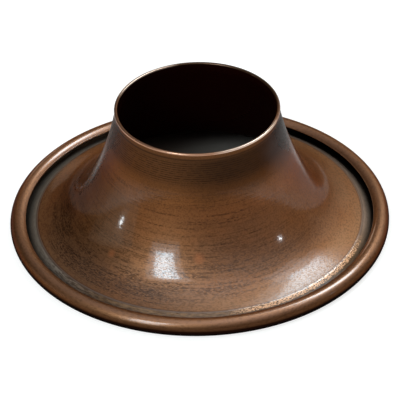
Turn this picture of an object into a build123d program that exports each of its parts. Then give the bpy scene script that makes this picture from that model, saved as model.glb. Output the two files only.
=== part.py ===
from build123d import *
import math
import os

# Tea funnel spun from one disc of copper sheet. It has a short straight collar at the
# mouth, a neck that flares out like a trumpet, a narrow steeper band round the skirt,
# and a rim that is rolled outwards and up into a hollow bead. It stands on the bead
# with its mouth up. The axis is Z, and the origin is the centre of the circle on which
# the bead rests.

# Driving sizes in millimetres, slopes in degrees below level.
overall_diameter = 96.0      # across the outside of the bead
overall_height = 35.7        # from the table to the lip
sheet = 0.8                  # thickness of the copper
mouth_bore = 39.7            # clear diameter of the collar
collar_length = 2.0          # straight wall below the lip
lip_radius = 0.3             # rounding of both edges of the lip
neck_slope = 79.0            # where the flare leaves the collar
skirt_slope = 11.0           # where the flare reaches the crease
bead_diameter = 4.5          # thickness of the rolled rim
band_run = 4.5               # level distance from the crease to the middle of the bead
crease_height = 2.75         # middle of the sheet at the crease, above the table
crease_radius = 0.5          # rounding of the crease, inside and out
curl_gap_angle = 35.0        # above level, where the rolled edge stops inside the bead
curl_edge_radius = 0.25      # rounding of that edge

# The flare passes through three stations. Each is its share of the way out from the
# collar to the crease, and its share of the way down.
waist = (0.20, 0.457)
hip = (0.30, 0.604)
skirt = (0.55, 0.855)

# Sizes that follow, on the middle line of the sheet.
collar_radius = (mouth_bore + sheet) / 2
collar_foot = overall_height - collar_length
curl_radius = (bead_diameter - sheet) / 2
curl_centre = ((overall_diameter - bead_diameter) / 2, bead_diameter / 2)
crease_point = (curl_centre[0] - band_run, crease_height)

# The band runs straight from the crease and meets the curl at a tangent.
curl_offset = (curl_centre[0] - crease_point[0], curl_centre[1] - crease_point[1])
curl_reach = math.hypot(*curl_offset)
band_length = math.sqrt(curl_reach**2 - curl_radius**2)
band_angle = math.degrees(math.atan2(curl_offset[1], curl_offset[0]) - math.asin(curl_radius / curl_reach))
curl_turn = 270 - band_angle - curl_gap_angle
curl_end = (
    curl_centre[0] - curl_radius * math.cos(math.radians(curl_gap_angle)),
    curl_centre[1] + curl_radius * math.sin(math.radians(curl_gap_angle)),
)


def station(share):
    """A point that lies its shares of the way out and down the flare."""
    out, down = share
    return (
        collar_radius + out * (crease_point[0] - collar_radius),
        collar_foot + down * (crease_point[1] - collar_foot),
    )


def falling(slope):
    """The direction outwards that falls by a slope in degrees."""
    return (math.cos(math.radians(slope)), -math.sin(math.radians(slope)))


def rings_beside(point):
    """The two circular edges of the sheet on either side of a point of its middle line."""
    out, up = point
    rings = funnel.edges().filter_by(GeomType.CIRCLE).filter_by(Plane.XY)
    return rings.sort_by_distance((out, 0, up))[:2]


with BuildPart() as funnel:
    with BuildSketch(Plane.XZ):
        with BuildLine():
            collar = Line((collar_radius, overall_height), (collar_radius, collar_foot))
            flare = Spline(
                collar @ 1,
                station(waist),
                station(hip),
                station(skirt),
                crease_point,
                tangents=[falling(neck_slope), falling(skirt_slope)],
            )
            band = PolarLine(flare @ 1, band_length, band_angle)
            curl = JernArc(band @ 1, band % 1, curl_radius, curl_turn)
        trace(line_width=sheet)
    revolve(axis=Axis.Z)

    fillet(rings_beside((collar_radius, overall_height)), lip_radius)
    fillet(rings_beside(crease_point), crease_radius)
    fillet(rings_beside(curl_end), curl_edge_radius)

funnel.part.label = "funnel"
os.makedirs("parts", exist_ok=True)
export_step(funnel.part, "parts/funnel.step")
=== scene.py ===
import math

import bpy
from mathutils import Euler, Matrix, Vector


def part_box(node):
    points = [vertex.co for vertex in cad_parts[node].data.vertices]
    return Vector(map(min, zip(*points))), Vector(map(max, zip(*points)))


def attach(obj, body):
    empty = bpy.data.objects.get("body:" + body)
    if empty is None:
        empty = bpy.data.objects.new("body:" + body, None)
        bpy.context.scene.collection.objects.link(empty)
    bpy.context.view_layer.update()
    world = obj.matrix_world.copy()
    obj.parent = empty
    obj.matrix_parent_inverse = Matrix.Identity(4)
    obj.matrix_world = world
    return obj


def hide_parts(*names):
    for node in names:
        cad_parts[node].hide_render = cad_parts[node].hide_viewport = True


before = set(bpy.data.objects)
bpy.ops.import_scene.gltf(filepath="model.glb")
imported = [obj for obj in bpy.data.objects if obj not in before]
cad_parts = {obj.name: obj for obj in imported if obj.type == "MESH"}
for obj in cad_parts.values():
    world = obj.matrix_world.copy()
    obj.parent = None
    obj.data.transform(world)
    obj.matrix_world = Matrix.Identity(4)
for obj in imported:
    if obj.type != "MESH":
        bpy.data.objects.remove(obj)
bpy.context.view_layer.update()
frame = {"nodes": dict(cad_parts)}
mm = 0.001
print("frame loaded:", ", ".join(frame["nodes"]))


def deselectAll():
    if bpy.context.object and bpy.context.object.mode != "OBJECT":
        bpy.ops.object.mode_set(mode="OBJECT")
    bpy.ops.object.select_all(action="DESELECT")


def hexColour(code):
    # sRGB hex to the linear colour that a shader socket takes
    parts = [int(code[i:i + 2], 16) / 255 for i in (1, 3, 5)]
    linear = [p / 12.92 if p <= 0.04045 else ((p + 0.055) / 1.055) ** 2.4 for p in parts]
    return (*linear, 1.0)


def asColour(value):
    # what a colour socket takes, from a hex code, a grey number or the output of another node
    if isinstance(value, str):
        return hexColour(value)
    if isinstance(value, (int, float)):
        return (value, value, value, 1.0)
    return value


def addNode(tree, kind, settings=None, inputs=None):
    # inputs gives a socket's name or number, and either a value or the output that feeds it
    node = tree.nodes.new(kind)
    for name, value in (settings or {}).items():
        setattr(node, name, value)
    for name, value in (inputs or {}).items():
        if isinstance(value, bpy.types.NodeSocket):
            tree.links.new(value, node.inputs[name])
        else:
            node.inputs[name].default_value = value
    return node


def linesThrough(tree, value, stops):
    # straight lines through (at, height) pairs, in the value's own numbers; a height can be a colour
    low, high = stops[0][0], stops[-1][0]
    span = {"Value": value, "From Min": low, "From Max": high}
    share = addNode(tree, "ShaderNodeMapRange", {}, span).outputs[0]
    curve = addNode(tree, "ShaderNodeValToRGB", {}, {"Fac": share})
    keys = curve.color_ramp.elements
    while len(keys) < len(stops):
        keys.new(0.5)
    for key, (at, height) in zip(keys, stops):
        key.position = (at - low) / (high - low)
        key.color = asColour(height)
    return curve.outputs["Color"]


def combined(tree, operation, *values):
    # one operation over all the values, such as MULTIPLY for masks and ADD for heights
    result = values[0]
    for value in values[1:]:
        inputs = {0: result, 1: value}
        result = addNode(tree, "ShaderNodeMath", {"operation": operation}, inputs).outputs[0]
    return result


def layered(tree, base, *coats):
    # (mask, colour) pairs, laid over a base colour one after another
    for mask, colour in coats:
        inputs = {0: mask, 6: asColour(base), 7: asColour(colour)}
        base = addNode(tree, "ShaderNodeMix", {"data_type": "RGBA"}, inputs).outputs[2]
    return base


def directionTo(azimuth, elevation):
    # degrees from the front towards +X, and above level
    a, e = math.radians(azimuth), math.radians(elevation)
    return Vector((math.sin(a) * math.cos(e), -math.cos(a) * math.cos(e), math.sin(e)))


# The spun sheet. Lengths are in millimetres, slopes in degrees below level.
spunSheet = {
    "sheet": 0.8,               # thickness
    "mouthBore": 39.7,          # clear diameter of the collar
    "collarLength": 2.0,        # straight wall below the lip
    "lipRadius": 0.3,
    "neckSlope": 79.0,          # where the flare leaves the collar
    "skirtSlope": 11.0,         # where it reaches the crease
    "stations": [(0.20, 0.457), (0.30, 0.604), (0.55, 0.855)],  # shares of the way out and down
    "flareEndPull": 1.2,        # how long the flare holds its slope at the crease
    "beadDiameter": 4.5,
    "bandRun": 4.5,             # level distance from the crease to the middle of the bead
    "bandShares": (0.3, 0.6, 0.9),  # points of the band, as shares of its length
    "creaseHeight": 2.75,
    "creaseBend": 0.9,          # bend of the middle line at the crease
    "creaseClear": 1.5,         # the flare's points end this many tangent lengths before the crease
    "curlGapAngle": 35.0,       # above level, where the rolled edge stops inside the bead
    "curlEdgeRadius": 0.25,
    "edgeSide": 0.1,            # sheetSide in the middle of a rounded edge
    "flareSteps": 96,
    "curlSteps": 54,
    "roundSteps": 4,
    "hiddenFlareEvery": 2,      # on a face that hardly shows, one point in so many is kept
    "hiddenCurlEvery": 3,
    "turns": 384,               # faces round the axis
    "weld": 0.002,              # points nearer than this become one
}


def flareLine(points, startSlope, endSlope, endPull, steps):
    # a smooth curve through the points, which leaves and arrives at the two slopes
    spans = [(b - a).length for a, b in zip(points, points[1:])]
    pulls = [Vector((0.0, 0.0)) for _ in points]
    pulls[0] = startSlope
    pulls[-1] = endSlope * endPull
    rounds = 40  # enough for the slopes between to settle
    for _ in range(rounds):
        for i in range(1, len(points) - 1):
            before, after = spans[i - 1], spans[i]
            rise = (points[i] - points[i - 1]) * (after / before)
            rise += (points[i + 1] - points[i]) * (before / after)
            pulls[i] = (3 * rise - after * pulls[i - 1] - before * pulls[i + 1]) / (2 * (before + after))
    line = []
    total = sum(spans)
    for step in range(steps + 1):
        reach, i = total * step / steps, 0
        while i < len(spans) - 1 and reach > spans[i]:
            reach -= spans[i]
            i += 1
        t = min(reach / spans[i], 1.0)
        line.append(
            (2 * t**3 - 3 * t**2 + 1) * points[i]
            + (t**3 - 2 * t**2 + t) * spans[i] * pulls[i]
            + (3 * t**2 - 2 * t**3) * points[i + 1]
            + (t**3 - t**2) * spans[i] * pulls[i + 1]
        )
    return line


def falling(slope):
    return Vector((math.cos(math.radians(slope)), -math.sin(math.radians(slope))))


def arcLine(centre, radius, fromAngle, turn, steps):
    return [
        centre + radius * Vector((math.cos(a), math.sin(a)))
        for a in (math.radians(fromAngle + turn * i / steps) for i in range(steps + 1))
    ]


def sheetMiddle(size):
    # the middle of the sheet from lip to rolled edge, as the points of each stretch by its name
    _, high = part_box("funnel")
    height = high.z / mm
    outerRadius = high.x / mm
    collarRadius = (size["mouthBore"] + size["sheet"]) / 2
    curlRadius = (size["beadDiameter"] - size["sheet"]) / 2
    curlCentre = Vector((outerRadius - size["beadDiameter"] / 2, size["beadDiameter"] / 2))
    crease = Vector((curlCentre.x - size["bandRun"], size["creaseHeight"]))
    collarFoot = Vector((collarRadius, height - size["collarLength"]))
    collar = [Vector((collarRadius, height)), Vector((collarRadius, height - size["collarLength"] / 2))]
    way = crease - collarFoot
    points = [collarFoot]
    points += [collarFoot + Vector((out * way.x, down * way.y)) for out, down in size["stations"]]
    points.append(crease)
    neck, skirt = falling(size["neckSlope"]), falling(size["skirtSlope"])
    flare = flareLine(points, neck, skirt, size["flareEndPull"], size["flareSteps"])

    # the band runs straight to the curl and meets it at a tangent
    toCurl = curlCentre - crease
    bandSlope = -math.degrees(math.atan2(toCurl.y, toCurl.x) - math.asin(curlRadius / toCurl.length))
    bandLength = math.sqrt(toCurl.length**2 - curlRadius**2)
    bandEnd = crease + bandLength * falling(bandSlope)

    # the crease itself is a small arc between the flare and the band
    turn = bandSlope - size["skirtSlope"]
    cut = size["creaseBend"] * math.tan(math.radians(turn / 2))
    flare = [p for p in flare if (crease - p).length > cut * size["creaseClear"]]
    start = crease - cut * skirt
    centre = start - size["creaseBend"] * Vector((-skirt.y, skirt.x))
    bend = arcLine(centre, size["creaseBend"], 90 - size["skirtSlope"], -turn, size["roundSteps"])
    band = [bend[-1].lerp(bandEnd, share) for share in size["bandShares"]]
    curlTurn = 270 - size["curlGapAngle"] + bandSlope
    curl = arcLine(curlCentre, curlRadius, 270 - bandSlope, curlTurn, size["curlSteps"])
    return {"collar": collar, "flare": flare, "crease": bend, "band": band, "curl": curl}


def roundedCorner(corner, along, across, radius, place, sides, steps):
    # a quarter circle at a corner of the sheet: it leaves along the face and ends across the edge
    centre = corner - radius * along - radius * across
    firstSide, lastSide = sides
    made = []
    for i in range(steps + 1):
        a = math.pi / 2 * i / steps
        side = firstSide + (lastSide - firstSide) * i / steps
        made.append((centre + radius * (math.cos(a) * across + math.sin(a) * along), place, side))
    return made


def sectionLoop(size):
    # the closed outline of the sheet, as (point, place along the sheet, side): side is 1 on the
    # face that is outside on the flare, and -1 on the face that is outside on the bead
    stretches = sheetMiddle(size)
    middle = [p for name in ("collar", "flare", "crease", "band", "curl") for p in stretches[name]]
    places = [0.0]
    for a, b in zip(middle, middle[1:]):
        places.append(places[-1] + (b - a).length)
    half = size["sheet"] / 2
    upper, under = [], []
    curlStart = len(middle) - len(stretches["curl"])
    flareStart = len(stretches["collar"])
    flareEnd = flareStart + len(stretches["flare"])
    for i, p in enumerate(middle):
        ahead = middle[min(i + 1, len(middle) - 1)] - middle[max(i - 1, 0)]
        ahead.normalize()
        normal = Vector((-ahead.y, ahead.x))
        hiddenAbove = i > curlStart and (i - curlStart) % size["hiddenCurlEvery"]
        hiddenUnder = flareStart < i < flareEnd and (i - flareStart) % size["hiddenFlareEvery"]
        if not hiddenAbove:
            upper.append((p + half * normal, places[i], 1.0))
        if not hiddenUnder:
            under.append((p - half * normal, places[i], -1.0))

    up = Vector((0.0, 1.0))
    out = Vector((1.0, 0.0))
    endAlong = (middle[-1] - middle[-2]).normalized()
    endNormal = Vector((-endAlong.y, endAlong.x))
    lip, edge, end = size["lipRadius"], size["curlEdgeRadius"], places[-1]
    steps = size["roundSteps"]
    above, below = (1.0, size["edgeSide"]), (-1.0, -size["edgeSide"])
    lipOut = roundedCorner(upper[0][0], up, out, lip, 0.0, above, steps)
    lipIn = roundedCorner(under[0][0], up, -out, lip, 0.0, below, steps)
    edgeUp = roundedCorner(upper[-1][0], endAlong, endNormal, edge, end, above, steps)
    edgeDown = roundedCorner(under[-1][0], endAlong, -endNormal, edge, end, below, steps)
    loop = lipOut[::-1] + upper[1:-1] + edgeUp + edgeDown[::-1] + under[-2:0:-1] + lipIn
    named = {
        "crease": places[flareEnd],
        "curl": places[curlStart],
        "end": end,
        "middle": list(zip(places, middle)),
    }
    return loop, named


def spinFunnel(size):
    loop, places = sectionLoop(size)
    deselectAll()
    first = loop[0][0]
    bpy.ops.mesh.primitive_plane_add(size=mm, location=(first.x * mm, 0, first.y * mm))
    funnel = bpy.context.object
    funnel.name = "spun_funnel"
    bpy.ops.object.transform_apply(location=True, rotation=False, scale=False)
    bpy.ops.object.mode_set(mode="EDIT")
    bpy.ops.mesh.select_all(action="SELECT")
    bpy.ops.mesh.merge(type="CENTER")
    for (a, _, _), (b, _, _) in zip(loop, loop[1:]):
        step = (b - a) * mm
        bpy.ops.mesh.extrude_region_move(TRANSFORM_OT_translate={"value": (step.x, 0, step.y)})
    bpy.ops.object.mode_set(mode="OBJECT")
    mesh = funnel.data
    along = mesh.attributes.new("alongSheet", "FLOAT", "POINT")
    side = mesh.attributes.new("sheetSide", "FLOAT", "POINT")
    along.data.foreach_set("value", [place * mm for _, place, _ in loop])
    side.data.foreach_set("value", [s for _, _, s in loop])

    # close the outline between its last and first points, then turn it round the axis
    bpy.ops.object.mode_set(mode="EDIT")
    bpy.ops.mesh.select_mode(type="VERT")
    bpy.ops.mesh.select_all(action="DESELECT")
    bpy.ops.object.mode_set(mode="OBJECT")
    mesh.vertices[0].select = True
    mesh.vertices[len(loop) - 1].select = True
    bpy.ops.object.mode_set(mode="EDIT")
    bpy.ops.mesh.edge_face_add()
    bpy.ops.mesh.select_all(action="SELECT")
    bpy.ops.mesh.spin(steps=size["turns"], angle=2 * math.pi, center=(0, 0, 0), axis=(0, 0, 1))
    bpy.ops.mesh.select_all(action="SELECT")
    bpy.ops.mesh.remove_doubles(threshold=size["weld"] * mm)
    bpy.ops.mesh.normals_make_consistent(inside=False)
    bpy.ops.object.mode_set(mode="OBJECT")
    bpy.ops.object.shade_smooth()
    print("funnel spun:", len(mesh.vertices), "points", len(mesh.polygons), "faces")
    return funnel, places


# Patinated, lacquered copper. Lengths are in millimetres, and azimuths in degrees from the front
# towards +X. A mark has a colour, a strength and what bounds it: its face of the sheet, noises,
# places counted along the sheet from the lip, the crease, the curl or the rolled end, a side as
# (azimuth, reach), or how far the face turns from the eye. Each bound has (at, height) pairs. A
# noise is (length round the axis, width along the sheet, detail, seed).
grain = (0.55, 0.4, 2.0, 9.0)
noiseRadius = 30  # distance from the axis at which a noise has its stated length
patina = {
    "colours": {
        "cloud": "#9c5f33",         # redder clouds in the brown
        "line": "#452914",          # turning lines, grain and most specks, and the painted shade low on the left of the skirt
        "speck": "#301a0b",         # fine specks low on the skirt
        "leftFlankShade": "#22281a",         # painted shade on the left flank of the flare
        "grooveAndShade": "#1f1208",        # grooves below the lip, and the painted shade on the right of the neck
        "spot": "#b56a3e",          # copper that shows through where the oxide is thin
        "band": "#ab907c",          # greyer behind the crease, where the sheet was never polished
        "bandLeftSheen": "#b6a593",      # palest at the left, a painted sheen
        "bandFront": "#86613f",     # browner at the front
        "gapShade": "#17120f",           # painted shade in the hollow beside the bead
        "inside": "#3a100a",        # dark red oxide inside
        "bead": "#a36d48",
        "beadUnderShade": "#1a0b05",     # painted shade on the underside and outer side of the bead
        "creaseGlint": "#a48a76",    # painted highlight: a thin light line along the crease, away from the worn stretch
        "rubbedGlint": "#f2d0b8",        # painted highlights in bright metal, on the lip where the lamps glint and along the worn crease
        "copper": "#eeb588",        # bare metal at the worn crease
        "lip": "#bd8766",
        "lipBack": "#5f4433",       # darker at the back
    },
    # place from the lip, colour of the brown oxide there, darker on the steep neck with painted shade
    "flare": [
        (0.0, "#6e4628"), (1.2, "#674226"), (2.5, "#5c3a20"), (7.0, "#603b1f"), (9.0, "#6a4122"),
        (12.0, "#784a27"), (16.0, "#87532e"), (22.0, "#8f5c38"), (28.0, "#9a6642"), (34.0, "#a06d49"),
        (40.0, "#a4724d"),
    ],
    # marks on the flare, in the order in which they are laid
    "flareMarks": {
        "clouds": {
            "colour": "cloud", "strength": 0.5,
            "noises": [((14, 6, 3.0, 4.0), [(0.42, 0.0), (0.68, 1.0)])],
            "fromLip": [(8.0, 0.0), (16.0, 1.0)],
        },
        "grain": {
            "colour": "line", "strength": 0.4,
            "noises": [(grain, [(0.36, 1.0), (0.55, 0.0)])],
        },
        # close turning lines, really about 0.48 mm apart and drawn a little coarser so that they show
        "evenLines": {
            "colour": "grooveAndShade", "strength": 0.7,
            "pitch": 0.56, "crests": [(0.1, 0.0), (0.8, 1.0)],
            "noises": [((1.6, 0.5, 2.0, 2.0), [(0.38, 0.1), (0.54, 1.0)])],
            "fromLip": [(2.2, 0.0), (3.0, 1.0), (7.6, 1.0), (9.2, 0.0)],
            "side": (-30, 95), "fade": [(0.0, 0.1), (0.6, 1.0)],
        },
        "firstGroove": {
            "colour": "grooveAndShade", "strength": 0.6,
            "fromLip": [(1.35, 0.0), (1.65, 1.0), (1.8, 1.0), (2.2, 0.0)],
            "side": (0, 120), "fade": [(0.0, 0.4), (0.5, 1.0)],
        },
        "neckShade": {
            "colour": "grooveAndShade", "strength": 0.62,
            "fromLip": [(1.6, 0.0), (2.4, 1.0), (7.0, 1.0), (13.0, 0.0)],
            "side": (55, 75), "fade": [(0.0, 0.0), (0.7, 1.0)],
        },
        "flankShade": {
            "colour": "leftFlankShade", "strength": 0.4,
            "fromLip": [(12.0, 0.0), (17.0, 1.0), (28.0, 1.0), (34.0, 0.0)],
            "side": (-88, 55), "fade": [(0.0, 0.0), (0.5, 1.0)],
        },
        "skirtShade": {
            "colour": "line", "strength": 0.3,
            "fromLip": [(29.0, 0.0), (34.0, 1.0), (41.0, 1.0)],
            "side": (-78, 46), "fade": [(0.0, 0.0), (0.45, 1.0)],
        },
        # turning lines of the skirt, wide apart and broken
        "wideLines": {
            "colour": "line", "strength": 0.8,
            "noises": [
                ((60, 0.22, 1.0, 7.0), [(0.52, 0.0), (0.6, 1.0)]),
                ((0.9, 0.25, 2.0, 8.0), [(0.42, 0.0), (0.52, 1.0)]),
                ((12, 1.2, 1.0, 11.0), [(0.4, 0.3), (0.58, 1.0)]),
            ],
            "fromLip": [(9.0, 0.2), (13.0, 0.7), (24.0, 1.0), (30.0, 0.8), (36.0, 0.0)],
            "side": (-15, 80), "fade": [(0.0, 0.15), (0.7, 1.0)],
        },
        "specks": {
            "colour": "line", "strength": 0.8,
            "noises": [
                ((30, 0.3, 1.0, 13.0), [(0.4, 0.15), (0.5, 1.0)]),
                ((0.8, 0.25, 2.0, 15.0), [(0.44, 0.0), (0.54, 1.0)]),
                ((9, 1.6, 2.0, 17.0), [(0.42, 0.0), (0.52, 1.0)]),
            ],
            "fromLip": [(10.0, 0.0), (26.0, 0.35), (32.0, 1.0), (36.5, 0.9), (39.0, 0.15), (40.0, 0.1)],
            "side": (-40, 100), "fade": [(0.0, 0.15), (0.7, 1.0)],
        },
        "lowSpecks": {
            "colour": "speck", "strength": 0.7,
            "noises": [
                ((20, 0.3, 1.0, 43.0), [(0.38, 0.1), (0.5, 1.0)]),
                ((0.65, 0.22, 2.0, 45.0), [(0.46, 0.0), (0.55, 1.0)]),
            ],
            "fromLip": [(34.5, 0.0), (36.5, 1.0), (39.6, 1.0), (40.6, 0.0)],
            "side": (-44, 40), "fade": [(0.0, 0.0), (0.6, 1.0)],
        },
    },
    "spots": [(-0.8, 26.8, 1.5), (-44.0, 30.4, 1.2)],  # azimuth, place, radius of thin places in the oxide
    "spotFade": [(0.1, 0.7), (1.2, 0.0)],   # share of a spot's radius, height
    "bandMarks": {
        # painted sheen: the band paler at the left
        "left": {
            "colour": "bandLeftSheen", "strength": 1.0,
            "side": (-100, 80), "fade": [(0.0, 0.0), (1.0, 1.0)],
        },
        "front": {
            "colour": "bandFront", "strength": 1.0,
            "side": (14, 72), "fade": [(0.0, 0.0), (0.5, 1.0)],
        },
        "specks": {
            "colour": "line", "strength": 1.0,
            "noises": [((1.2, 0.3, 3.0, 21.0), [(0.42, 1.0), (0.56, 0.0)])],
            "side": (0, 75), "fade": [(0.0, 0.15), (0.5, 0.7)],
        },
        # painted shade beside the bead: the last pair stands 0.2 mm past the start of the curl
        "gapShade": {
            "colour": "gapShade", "strength": 1.0,
            "fromCrease": [(0.5, 0.0), (1.5, 0.4), (2.7, 0.87), (4.484, 1.0)],
            "side": (30, 165), "fade": [(0.04, 0.4), (0.3, 1.0)],
        },
    },
    "beadMarks": {
        "grain": {
            "colour": "line", "strength": 0.3,
            "noises": [(grain, [(0.34, 1.0), (0.52, 0.0)])],
        },
    },
    "lipMarks": {
        "back": {
            "colour": "lipBack", "strength": 1.0,
            "side": (180, 120), "fade": [(0.0, 0.0), (0.7, 1.0)],
        },
        # worn bright metal, placed where the lamps glint on the lip: painted highlights
        "wornGlintRight": {
            "colour": "rubbedGlint", "strength": 0.9,
            "side": (42, 32), "fade": [(0.0, 0.0), (0.6, 1.0)],
        },
        "wornGlintBack": {
            "colour": "rubbedGlint", "strength": 0.8,
            "side": (-136, 32), "fade": [(0.0, 0.0), (0.6, 1.0)],
        },
    },
    # where each colour of the sheet lies
    "faces": {
        "outside": {"face": "upper", "fromCrease": [(-0.5, 1.0), (0.1, 0.0)]},
        "band": {"face": "upper", "fromCrease": [(0.05, 0.0), (0.35, 1.0)]},
        "bead": {"face": "under", "fromCurl": [(-0.6, 0.0), (0.2, 1.0)]},
        # where the painted shade under the bead lies
        "beadUnderShade": {
            "face": "under",
            "fromCurl": [(-0.6, 0.0), (0.0, 1.0)],
            "fromEnd": [(-4.7, 1.0), (-2.5, 0.0)],
        },
        "inside": {"face": "under", "fromCrease": [(-0.5, 1.0), (0.0, 0.0)]},
        "lip": {"fromLip": [(0.02, 1.0), (0.25, 0.0)]},
    },
    "faceFade": 0.05,               # of sheetSide, where one face gives way to the other
    # the crease is worn bare in crumbs at the front right, with a thin painted highlight all round
    "wornSide": {"side": (42, 34), "fade": [(0.0, 0.0), (0.5, 1.0)]},
    "crumbs": {"noises": [((0.36, 0.2, 2.0, 37.0), [(0.42, 0.1), (0.54, 1.0)])]},
    "wornCrease": {
        "face": "upper",
        "ragged": ((0.5, 0.5, 3.0, 31.0), 1.2),  # a noise, and how far it moves the edges
        "fromCrease": [(0.5, 0.0), (0.7, 1.0), (1.55, 1.0), (1.8, 0.0)],
    },
    # painted highlight along the crease
    "creaseGlint": {"face": "upper", "fromCrease": [(-0.25, 0.0), (0.0, 0.6), (0.3, 0.0)]},
    "metallic": 0.95,
    "edgeTint": (0.16, 0.13, 0.11, 1.0),    # what the oxide reflects at a grazing look
    "roughness": [(0.35, 0.48), (0.65, 0.56)],  # height of the grain, roughness there
    "beadRoughness": 0.45,
    "lipRoughness": 0.3,
    "coatRoughness": 0.11,
    "coatIOR": 1.75,                # above a real lacquer's, to match the strength of the highlights
    # gloss of the lacquer by place, and by how far the face turns from the eye: 0 faces it
    "gloss": {
        "skirt": {
            "fromLip": [(10.0, 0.0), (16.0, 0.75), (21.0, 1.0), (60.0, 1.0)],
            "turned": [
                (0.0, 1.0), (0.2, 1.0), (0.32, 0.5), (0.45, 0.14), (0.6, 0.07), (0.72, 0.06),
                (0.82, 0.55), (1.0, 0.8),
            ],
        },
        "neck": {
            "fromLip": [(10.0, 1.0), (16.0, 0.0)],
            "turned": [(0.3, 0.04), (0.5, 0.1), (0.75, 0.13), (1.0, 0.13)],
        },
        "right": {
            "fromLip": [(1.5, 0.0), (5.0, 0.5), (12.0, 0.9), (18.0, 0.8)],
            "turned": [(0.3, 0.0), (0.45, 0.2), (0.75, 0.2), (1.0, 0.15)],
            "side": (105, 75), "fade": [(0.0, 0.0), (0.5, 1.0)],
        },
    },
    "beadGloss": {"turned": [(0.0, 1.0), (0.38, 1.0), (0.5, 0.45), (0.62, 0.08), (1.0, 0.02)]},
    "pits": {"noises": [((0.5, 0.25, 2.0, 41.0), [(0.38, 0.4), (0.55, 1.0)])]},
    "bare": {"beadUnderShade": 1.7, "inside": 0.9},  # how far the lacquer is missing there, 1 or more for all
    "peel": (0.9, 0.001),           # size and height of the lacquer's orange peel
    "grit": (0.24, 0.0004),         # and of the fine grit under it
    "peelDetail": 1.5,
    # low ridges that the turning left
    "ridges": {
        "height": 0.0011,
        "noise": (16, 0.45, 1.0, 27.0), "noiseShare": 0.5,
        "pitch": 1.05, "fromLip": [(9.0, 0.0), (12.0, 1.0), (22.0, 1.0), (30.0, 0.3)],
    },
    "grooveDepth": 0.003,           # of the even lines
    "wideLineDepth": 0.1,           # of the wide lines, as a share of it
    "beadRelief": 0.12,             # share of the relief that is left on the bead
}


def sheetSurface(tree, places, faceFade):
    # what a mask can go by: the place along the sheet, its two faces, the direction from the axis
    # and how far the face turns from the eye
    point = addNode(tree, "ShaderNodeTexCoord").outputs["Object"]
    along = addNode(tree, "ShaderNodeAttribute", {"attribute_name": "alongSheet"}).outputs["Fac"]
    side = addNode(tree, "ShaderNodeAttribute", {"attribute_name": "sheetSide"}).outputs["Fac"]
    level = addNode(tree, "ShaderNodeVectorMath", {"operation": "MULTIPLY"}, {0: point, 1: (1, 1, 0)})
    ring = addNode(tree, "ShaderNodeVectorMath", {"operation": "NORMALIZE"}, {0: level.outputs[0]})
    return {
        "tree": tree,
        "point": point,
        "place": combined(tree, "MULTIPLY", along, 1 / mm),
        "upper": linesThrough(tree, side, [(-faceFade, 0.0), (faceFade, 1.0)]),
        "under": linesThrough(tree, side, [(-faceFade, 1.0), (faceFade, 0.0)]),
        "ring": ring.outputs[0],
        "turned": addNode(tree, "ShaderNodeLayerWeight", {}, {"Blend": 0.5}).outputs["Facing"],
        "starts": {
            "fromLip": 0.0, "fromCrease": places["crease"], "fromCurl": places["curl"],
            "fromEnd": places["end"],
        },
    }


def drawnNoise(surface, length, width, detail, seed):
    # noise drawn out round the axis
    tree = surface["tree"]
    across = {0: surface["place"], 1: 1 / width, 2: seed}
    across = addNode(tree, "ShaderNodeMath", {"operation": "MULTIPLY_ADD"}, across).outputs[0]
    lift = addNode(tree, "ShaderNodeCombineXYZ", {}, {"Z": across}).outputs[0]
    spread = (noiseRadius / length, noiseRadius / length, 0)
    where = {0: surface["ring"], 1: spread, 2: lift}
    where = addNode(tree, "ShaderNodeVectorMath", {"operation": "MULTIPLY_ADD"}, where).outputs[0]
    inputs = {"Vector": where, "Scale": 1.0, "Detail": detail}
    return addNode(tree, "ShaderNodeTexNoise", {}, inputs).outputs["Fac"]


def wave(surface, pitch):
    turns = combined(surface["tree"], "MULTIPLY", surface["place"], 2 * math.pi / pitch)
    return addNode(surface["tree"], "ShaderNodeMath", {"operation": "SINE"}, {0: turns}).outputs[0]


def towards(surface, azimuth, reach):
    # 1 at an azimuth, falling to 0 at a number of degrees from it
    tree = surface["tree"]
    aim = {0: surface["ring"], 1: tuple(directionTo(azimuth, 0))}
    near = addNode(tree, "ShaderNodeVectorMath", {"operation": "DOT_PRODUCT"}, aim).outputs["Value"]
    return linesThrough(tree, near, [(math.cos(math.radians(reach)), 0.0), (1.0, 1.0)])


def maskOf(surface, mark):
    # the product of all that bounds a mark
    tree, place = surface["tree"], surface["place"]
    parts = []
    if "face" in mark:
        parts.append(surface[mark["face"]])
    if "pitch" in mark:
        parts.append(linesThrough(tree, wave(surface, mark["pitch"]), mark["crests"]))
    for noise, heights in mark.get("noises", []):
        parts.append(linesThrough(tree, drawnNoise(surface, *noise), heights))
    if "ragged" in mark:
        noise, reach = mark["ragged"]
        moved = combined(tree, "MULTIPLY", drawnNoise(surface, *noise), reach)
        place = combined(tree, "ADD", place, moved)
    for start, at in surface["starts"].items():
        if start in mark:
            stops = [(at + past, height) for past, height in mark[start]]
            parts.append(linesThrough(tree, place, stops))
    if "side" in mark:
        parts.append(linesThrough(tree, towards(surface, *mark["side"]), mark["fade"]))
    if "turned" in mark:
        parts.append(linesThrough(tree, surface["turned"], mark["turned"]))
    return combined(tree, "MULTIPLY", *parts)


def marked(surface, base, marks, colours):
    # the base colour with its marks laid over it, and the mask of each mark
    tree = surface["tree"]
    masks = {name: maskOf(surface, mark) for name, mark in marks.items()}
    for name, mark in marks.items():
        mask = combined(tree, "MULTIPLY", masks[name], mark["strength"])
        base = layered(tree, base, (mask, colours[mark["colour"]]))
    return base, masks


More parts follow.
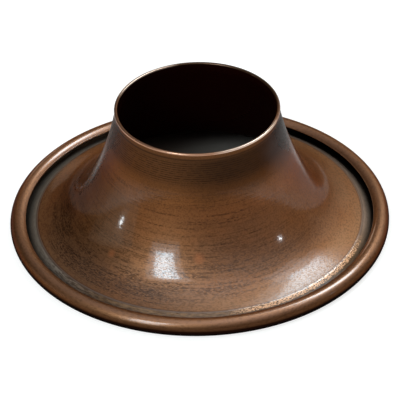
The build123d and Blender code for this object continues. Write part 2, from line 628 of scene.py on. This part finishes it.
def brownOxide(surface, look, middle):
    # brown that lightens from the neck to the skirt, with painted shade on the neck, its marks, and spots
    # where it is thin
    tree, colours = surface["tree"], look["colours"]
    brown = linesThrough(tree, surface["place"], look["flare"])
    brown, masks = marked(surface, brown, look["flareMarks"], colours)
    for azimuth, place, radius in look["spots"]:
        _, near = min(middle, key=lambda stop: abs(stop[0] - place))
        centre = near.x * mm * directionTo(azimuth, 0) + Vector((0, 0, near.y * mm))
        ends = {0: surface["point"], 1: tuple(centre)}
        away = addNode(tree, "ShaderNodeVectorMath", {"operation": "DISTANCE"}, ends).outputs["Value"]
        stops = [(share * radius * mm, height) for share, height in look["spotFade"]]
        brown = layered(tree, brown, (linesThrough(tree, away, stops), colours["spot"]))
    return brown, masks


def sheetColour(surface, look, faces, brown):
    # the brown flare, the mottled band, the bead, the worn crease and the lip, with painted shade beside and
    # under the bead and painted highlights along the crease and on the lip
    tree, colours = surface["tree"], look["colours"]
    band, _ = marked(surface, colours["band"], look["bandMarks"], colours)
    bead, _ = marked(surface, colours["bead"], look["beadMarks"], colours)
    lip, _ = marked(surface, colours["lip"], look["lipMarks"], colours)
    wornSide, crumbs = maskOf(surface, look["wornSide"]), maskOf(surface, look["crumbs"])
    wornCrease = combined(tree, "MULTIPLY", maskOf(surface, look["wornCrease"]), wornSide)
    broken = layered(tree, 1.0, (wornSide, crumbs))
    creaseGlint = combined(tree, "MULTIPLY", maskOf(surface, look["creaseGlint"]), broken)
    return layered(
        tree, colours["inside"],
        (faces["outside"], brown),
        (faces["band"], band),
        (faces["bead"], bead),
        # painted shade under the bead
        (faces["beadUnderShade"], colours["beadUnderShade"]),
        (wornCrease, layered(tree, colours["line"], (crumbs, colours["copper"]))),
        # painted highlight along the crease, brightest in the worn stretch
        (creaseGlint, layered(tree, colours["creaseGlint"], (wornSide, colours["rubbedGlint"]))),
        (faces["lip"], lip),
    )


def sheetRoughness(surface, look, faces):
    # duller in the grain, smoother on the bead and smoothest on the lip
    tree = surface["tree"]
    dull = linesThrough(tree, drawnNoise(surface, *grain), look["roughness"])
    return layered(
        tree, dull, (faces["bead"], look["beadRoughness"]), (faces["lip"], look["lipRoughness"])
    )


def lacquer(surface, look, faces):
    # thick on the skirt and thin on the neck, pitted away from the bead, and missing out of sight
    tree = surface["tree"]
    bare = [combined(tree, "MULTIPLY", faces[name], share) for name, share in look["bare"].items()]
    kept = linesThrough(tree, combined(tree, "ADD", *bare), [(0.0, 1.0), (1.0, 0.0)])
    gloss = combined(tree, "ADD", *(maskOf(surface, part) for part in look["gloss"].values()))
    gloss = layered(tree, gloss, (faces["bead"], maskOf(surface, look["beadGloss"])), (faces["lip"], 1.0))
    pits = layered(tree, maskOf(surface, look["pits"]), (faces["bead"], 1.0))
    return combined(tree, "MULTIPLY", kept, gloss, pits)


def turnedRelief(surface, look, faces, lines):
    # orange peel and grit in the lacquer, the low ridges of turning, and the grooves of the lines
    tree = surface["tree"]
    heights = []
    for size, height in (look["peel"], look["grit"]):
        inputs = {"Vector": surface["point"], "Scale": 1 / (size * mm), "Detail": look["peelDetail"]}
        noise = addNode(tree, "ShaderNodeTexNoise", {}, inputs).outputs["Fac"]
        heights.append(combined(tree, "MULTIPLY", noise, height * mm))
    ridges = look["ridges"]
    uneven = combined(tree, "MULTIPLY", drawnNoise(surface, *ridges["noise"]), ridges["noiseShare"])
    where = linesThrough(tree, surface["place"], ridges["fromLip"])
    waves = combined(tree, "MULTIPLY", wave(surface, ridges["pitch"]), where)
    both = combined(tree, "ADD", uneven, waves)
    heights.append(combined(tree, "MULTIPLY", both, ridges["height"] * mm))
    wide = combined(tree, "MULTIPLY", lines["wideLines"], look["wideLineDepth"])
    grooves = combined(tree, "ADD", lines["evenLines"], wide)
    heights.append(combined(tree, "MULTIPLY", grooves, -look["grooveDepth"] * mm))
    inputs = {
        "Height": combined(tree, "ADD", *heights),
        "Strength": linesThrough(tree, faces["bead"], [(0.0, 1.0), (1.0, look["beadRelief"])]),
        "Distance": 1.0,
    }
    return addNode(tree, "ShaderNodeBump", {}, inputs).outputs[0]


def patinatedCopper(look, places):
    # sheet copper, spun, oxidised brown in a bath, worn back at its edges and lacquered clear:
    # a dull warm metal under a thin gloss that mirrors the lamps, with painted shade and painted highlights
    # in its colour
    material = bpy.data.materials.new("patinated_copper")
    material.use_nodes = True
    tree = material.node_tree
    shader = tree.nodes["Principled BSDF"]
    surface = sheetSurface(tree, places, look["faceFade"])
    faces = {name: maskOf(surface, face) for name, face in look["faces"].items()}
    brown, lines = brownOxide(surface, look, places["middle"])
    relief = turnedRelief(surface, look, faces, lines)
    tree.links.new(sheetColour(surface, look, faces, brown), shader.inputs["Base Color"])
    tree.links.new(sheetRoughness(surface, look, faces), shader.inputs["Roughness"])
    tree.links.new(lacquer(surface, look, faces), shader.inputs["Coat Weight"])
    tree.links.new(relief, shader.inputs["Normal"])
    tree.links.new(relief, shader.inputs["Coat Normal"])
    shader.inputs["Metallic"].default_value = look["metallic"]
    shader.inputs["Specular Tint"].default_value = look["edgeTint"]
    shader.inputs["Coat Roughness"].default_value = look["coatRoughness"]
    shader.inputs["Coat IOR"].default_value = look["coatIOR"]
    print("patina made:", len(tree.nodes), "nodes")
    return material


funnel, places = spinFunnel(spunSheet)
funnel.data.materials.append(patinatedCopper(patina, places))
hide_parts("funnel")
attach(funnel, "root")


# The room: a pale table under large soft lamps with their halos, two small lamps and dim far ones.
# Lengths are in metres, apart from those of the footprint, which are in millimetres.
room = {
    "floor": "#aaa49d",
    "floorSize": 3.0,
    "floorRoughness": 0.9,
    "floorSheen": 0.1,
    "footprint": "#7c7066",     # painted shade: the table darker under the funnel
    "footprintRadius": 44.0,
    "footprintFade": 1.0,
    "topUp": 0.78,              # light of the pale floor itself, seen by the camera and in reflections
    "lampColours": {"cool": (0.69, 0.88, 1.0), "plain": (0.9, 0.96, 1.0), "warm": (1.0, 0.88, 0.72)},
    # height of a ray, strength: dim at the horizon, and a pale ceiling
    "sky": [(-0.1, 0.09), (0.25, 0.1), (0.5, 0.3), (0.85, 0.78), (1.0, 1.65)],
    "skySide": (65, 0.48),      # azimuth of its brighter side, and how much brighter
    # azimuth from the front towards +X, elevation, distance, width, height, strength, roll, colour
    "lamps": {
        "soft_left": (-35, 42.5, 0.9, 0.24, 0.56, 8.5, 5, "cool"),
        "soft_left_middle": (-35, 42.5, 0.88, 0.05, 0.50, 2.8, 5, "cool"),
        "soft_left_halo": (-35, 42.5, 0.95, 0.44, 0.80, 1.1, 5, "cool"),
        "soft_right": (140, 54, 0.9, 0.33, 0.22, 5.2, 0, "cool"),
        "soft_right_middle": (140, 54, 0.88, 0.24, 0.15, 2.2, 0, "cool"),
        "soft_right_edge": (139, 54, 0.92, 0.43, 0.30, 1.3, 0, "cool"),
        "soft_right_halo": (134, 55, 0.95, 0.60, 0.44, 0.85, 0, "cool"),
        "soft_right_side": (106, 56, 0.97, 0.36, 0.34, 0.8, 0, "cool"),
        "small_left": (-81.4, 6.8, 0.9, 0.04, 0.02, 42.0, 0, "plain"),
        "small_right": (77, 18.5, 0.9, 0.032, 0.032, 36.0, 0, "plain"),
        "far_left": (-88, 10, 1.2, 0.95, 0.6, 0.28, 0, "warm"),
        "far_left_middle": (-88, 11, 1.19, 0.5, 0.35, 0.22, 0, "warm"),
        "far_right": (138, 20, 1.2, 1.2, 0.75, 0.25, 0, "warm"),
        "far_right_middle": (138, 20, 1.19, 0.9, 0.5, 0.18, 0, "warm"),
        "far_right_core": (138, 18, 1.18, 0.6, 0.3, 0.14, 0, "warm"),
        "far_back": (-164, 14, 1.2, 0.16, 0.3, 2.8, 0, "warm"),
    },
}
# Distance in metres, angles in degrees, sensor in millimetres.
camera = {
    "distance": 0.8736,
    "elevation": 35.95,
    "pitch": 0.395,
    "yaw": -0.012,
    "roll": 1.35,
    "focalPixels": 3440,        # focal length, in pixels of a frame of this width
    "frameWidth": 400,
    "sensor": 36.0,
}


def layFloor(look):
    # a matt pale table, darker within the footprint of the bead: painted shade
    deselectAll()
    bpy.ops.mesh.primitive_plane_add(size=look["floorSize"], location=(0, 0, 0))
    floor = bpy.context.object
    floor.name = "floor"
    material = bpy.data.materials.new("pale_table")
    material.use_nodes = True
    tree = material.node_tree
    shader = tree.nodes["Principled BSDF"]
    point = addNode(tree, "ShaderNodeTexCoord").outputs["Object"]
    reach = addNode(tree, "ShaderNodeVectorMath", {"operation": "LENGTH"}, {0: point}).outputs["Value"]
    radius, fade = look["footprintRadius"] * mm, look["footprintFade"] * mm
    span = {"Value": reach, "From Min": radius - fade, "From Max": radius + fade}
    outside = addNode(tree, "ShaderNodeMapRange", {}, span).outputs[0]
    colour = layered(tree, look["footprint"], (outside, look["floor"]))
    tree.links.new(colour, shader.inputs["Base Color"])
    shader.inputs["Roughness"].default_value = look["floorRoughness"]
    shader.inputs["Specular IOR Level"].default_value = look["floorSheen"]
    shader.inputs["Emission Color"].default_value = (1, 1, 1, 1)
    rays = addNode(tree, "ShaderNodeLightPath").outputs
    kinds = ("Is Camera Ray", "Is Glossy Ray", "Is Transmission Ray")
    seen = combined(tree, "MAXIMUM", *(rays[kind] for kind in kinds))
    glow = combined(tree, "MULTIPLY", seen, outside, look["topUp"])
    tree.links.new(glow, shader.inputs["Emission Strength"])
    floor.data.materials.append(material)


def paintSky(look):
    # dim at the horizon and pale overhead, as under a large diffuser
    world = bpy.data.worlds.new("studio")
    bpy.context.scene.world = world
    world.use_nodes = True
    tree = world.node_tree
    way = addNode(tree, "ShaderNodeTexCoord").outputs["Generated"]
    up = addNode(tree, "ShaderNodeSeparateXYZ", {}, {0: way}).outputs["Z"]
    azimuth, gain = look["skySide"]
    aim = {0: way, 1: tuple(directionTo(azimuth, 0))}
    facing = addNode(tree, "ShaderNodeVectorMath", {"operation": "DOT_PRODUCT"}, aim).outputs["Value"]
    brighter = {0: facing, 1: gain, 2: 1 - gain}
    strength = addNode(tree, "ShaderNodeMath", {"operation": "MULTIPLY_ADD"}, brighter).outputs[0]
    background = tree.nodes["Background"]
    tree.links.new(linesThrough(tree, up, look["sky"]), background.inputs["Color"])
    tree.links.new(strength, background.inputs["Strength"])


def hangLamps(look):
    for name, (azimuth, elevation, distance, width, height, strength, roll, colour) in look["lamps"].items():
        deselectAll()
        place = distance * directionTo(azimuth, elevation)
        bpy.ops.object.light_add(type="AREA", location=place)
        lamp = bpy.context.object
        lamp.name = name
        aim = (-place).to_track_quat("-Z", "Y").to_matrix() @ Matrix.Rotation(math.radians(roll), 3, "Z")
        lamp.rotation_euler = aim.to_euler()
        lamp.data.shape = "RECTANGLE"
        lamp.data.size = width
        lamp.data.size_y = height
        lamp.data.energy = strength * math.pi * width * height  # strength is how bright its face looks
        lamp.data.color = look["lampColours"][colour]


def setCamera(size):
    bpy.ops.object.camera_add(location=size["distance"] * directionTo(0, size["elevation"]))
    eye = bpy.context.object
    tilt = Euler((math.radians(90 - size["elevation"] + size["pitch"]), 0, 0)).to_matrix()
    yaw = Matrix.Rotation(math.radians(size["yaw"]), 3, "Y")
    roll = Matrix.Rotation(math.radians(-size["roll"]), 3, "Z")
    eye.rotation_euler = (tilt @ (yaw @ roll)).to_euler()
    eye.data.sensor_width = size["sensor"]
    eye.data.lens = size["focalPixels"] / size["frameWidth"] * size["sensor"]
    bpy.context.scene.camera = eye


layFloor(room)
hangLamps(room)
setCamera(camera)
paintSky(room)
bpy.context.scene.view_settings.view_transform = "Standard"
print("room set:", len(room["lamps"]), "lamps")
